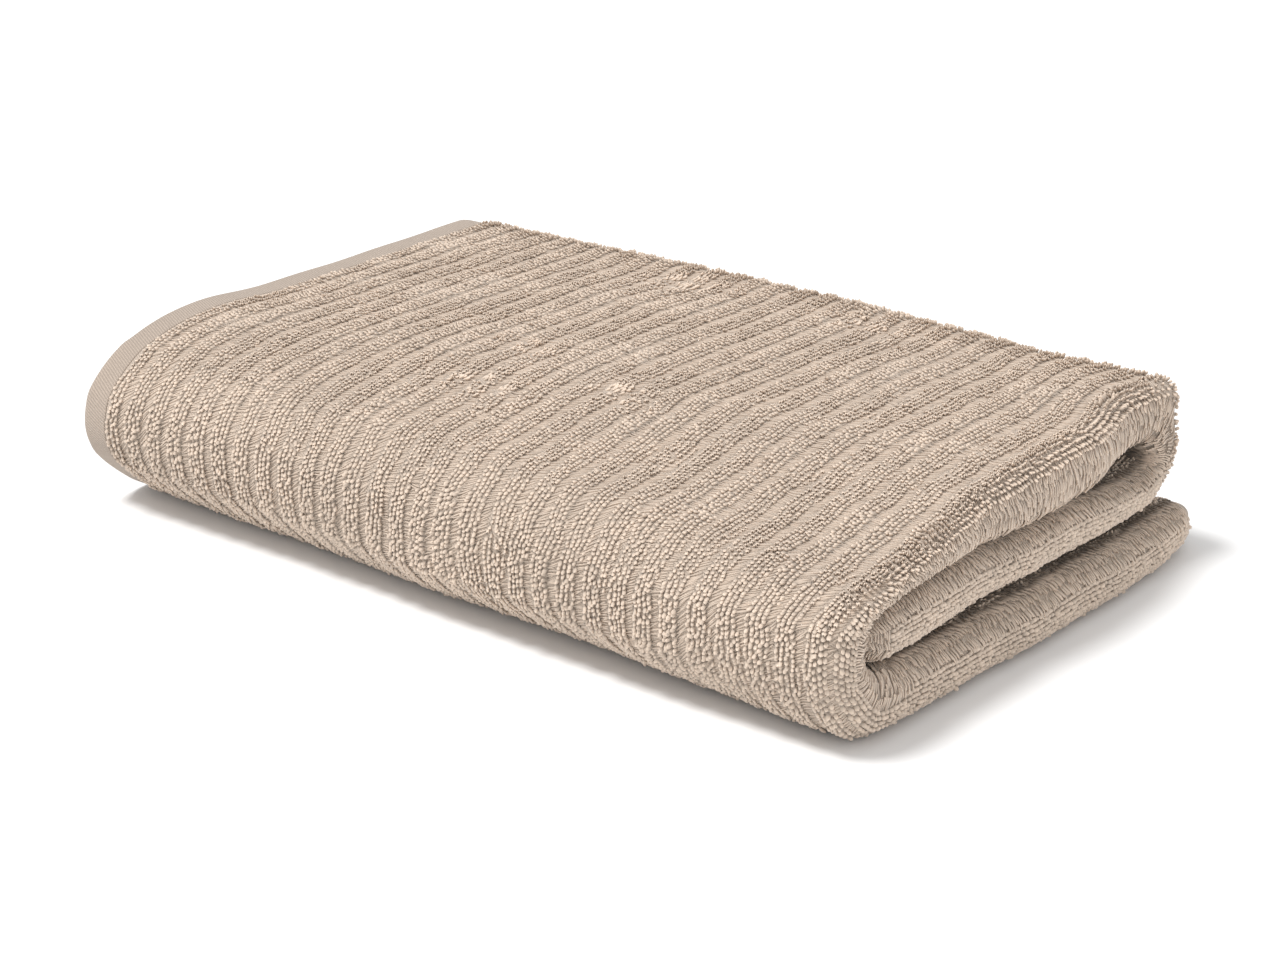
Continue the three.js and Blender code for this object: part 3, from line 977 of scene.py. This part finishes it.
MOST_LOOPS, MOST_STRANDS = 3000, 8000  # in one mesh
EDGE_PILE_FREE = 0.1  # the strands run on over the tucked arm's nose, where there are no loops
rng = np.random.default_rng(19)
pile = {zone.name: [] for zone in ZONES}


def in_parts(chosen, most):
    """Numbered parts of a list of places, none longer than most."""
    return enumerate((chosen[start : start + most] for start in range(0, len(chosen), most)), 1)


def add_strands(label, yarn, tucked_free, strands):
    middle_w = strands[1].mean(1)
    zones = zone_of(middle_w)
    free = (middle_w > LOOP_FREE) & (course.length - middle_w > tucked_free)
    for number, zone in enumerate(ZONES):
        for part, pick in in_parts(np.flatnonzero((zones == number) & free), MOST_STRANDS):
            chosen = [values[pick] for values in strands]
            pile[zone.name].append(build_strands(f"{label}_{zone.name}_{part}", zone, *chosen, yarn, rng))


def add_loops(label, kind, skin, w):
    zones = zone_of(w)
    for number, zone in enumerate(ZONES):
        chosen = np.flatnonzero(zones == number)
        chosen = chosen[np.lexsort((w[chosen], np.floor(skin[chosen] / RIB_PITCH)))]
        for part, pick in in_parts(chosen, MOST_LOOPS):
            title = f"{label}_{zone.name}_{part}"
            pile[zone.name].append(build_loops(title, zone, kind, skin[pick], w[pick], rng))


floats, edge_pile = groove_strands(rng), edge_strands(rng)
add_strands("floats", FLOAT_YARN, LOOP_FREE, floats)
add_strands("edge_pile", EDGE_YARN, EDGE_PILE_FREE, edge_pile)
full_places, light_places = all_loops()
add_loops("pile", FULL, *full_places)
add_loops("under_pile", LIGHT, *light_places)

# ---------------------------------------------------------------- floor, light and camera

FLOOR_HALF, FLOOR_DROP, FLOOR_WHITE = 6, 0.0004, 0.93
WORLD_STRENGTH = 0.7
# Each sun: name, azimuth and elevation that it shines from, strength, and the angle that it fills.
LIGHTS = (("key", -38, 65, 2.33, 16), ("fill", 20, 25, 0.2, 50), ("end_fill", 80, 25, 0.15, 50))
CAMERA_AZIMUTH, CAMERA_ELEVATION, CAMERA_DISTANCE = 39.4, 21.8, 1.0249
CAMERA_TARGET = np.array([0.0119, -0.0136, 0.025])
LENS, SENSOR = 78.27, 36.0


def direction(azimuth, elevation):
    """A unit vector to this azimuth, from -Y towards +X, and elevation."""
    a, e = math.radians(azimuth), math.radians(elevation)
    return np.array([math.sin(a) * math.cos(e), -math.cos(a) * math.cos(e), math.sin(e)])


def aim(obj, way):
    obj.rotation_mode = "QUATERNION"
    obj.rotation_quaternion = Vector(way).to_track_quat("-Z", "Y")


def floor():
    corners = [(x * FLOOR_HALF, y * FLOOR_HALF, 0) for x, y in ((-1, -1), (1, -1), (1, 1), (-1, 1))]
    mesh = bpy.data.meshes.new("floor")
    mesh.from_pydata(corners, [], [(0, 1, 2, 3)])
    obj = bpy.data.objects.new("floor", mesh)
    obj.location.z = -FLOOR_DROP
    bpy.context.scene.collection.objects.link(obj)
    material, _, shader = new_material("floor_white")
    shader.inputs["Base Color"].default_value = (FLOOR_WHITE, FLOOR_WHITE, FLOOR_WHITE, 1)
    shader.inputs["Roughness"].default_value = 1.0
    shader.inputs["Specular IOR Level"].default_value = 0.0
    mesh.materials.append(material)


def studio_light():
    world = bpy.data.worlds.new("studio")
    world.use_nodes = True
    background = world.node_tree.nodes["Background"]
    background.inputs["Color"].default_value = (1, 1, 1, 1)
    background.inputs["Strength"].default_value = WORLD_STRENGTH
    bpy.context.scene.world = world
    for name, azimuth, elevation, strength, angle in LIGHTS:
        light = bpy.data.lights.new(name, "SUN")
        light.energy, light.angle = strength, math.radians(angle)
        lamp = bpy.data.objects.new(name, light)
        aim(lamp, -direction(azimuth, elevation))
        bpy.context.scene.collection.objects.link(lamp)


def camera():
    back = direction(CAMERA_AZIMUTH, CAMERA_ELEVATION)
    data = bpy.data.cameras.new("camera")
    data.lens, data.sensor_width = LENS, SENSOR
    data.clip_start, data.clip_end = 0.05, 30
    obj = bpy.data.objects.new("camera", data)
    obj.location = CAMERA_TARGET + back * CAMERA_DISTANCE
    aim(obj, -back)
    bpy.context.scene.collection.objects.link(obj)
    bpy.context.scene.camera = obj


floor()
studio_light()
camera()
bpy.context.scene.view_settings.view_transform = "Standard"

bpy.context.view_layer.update()
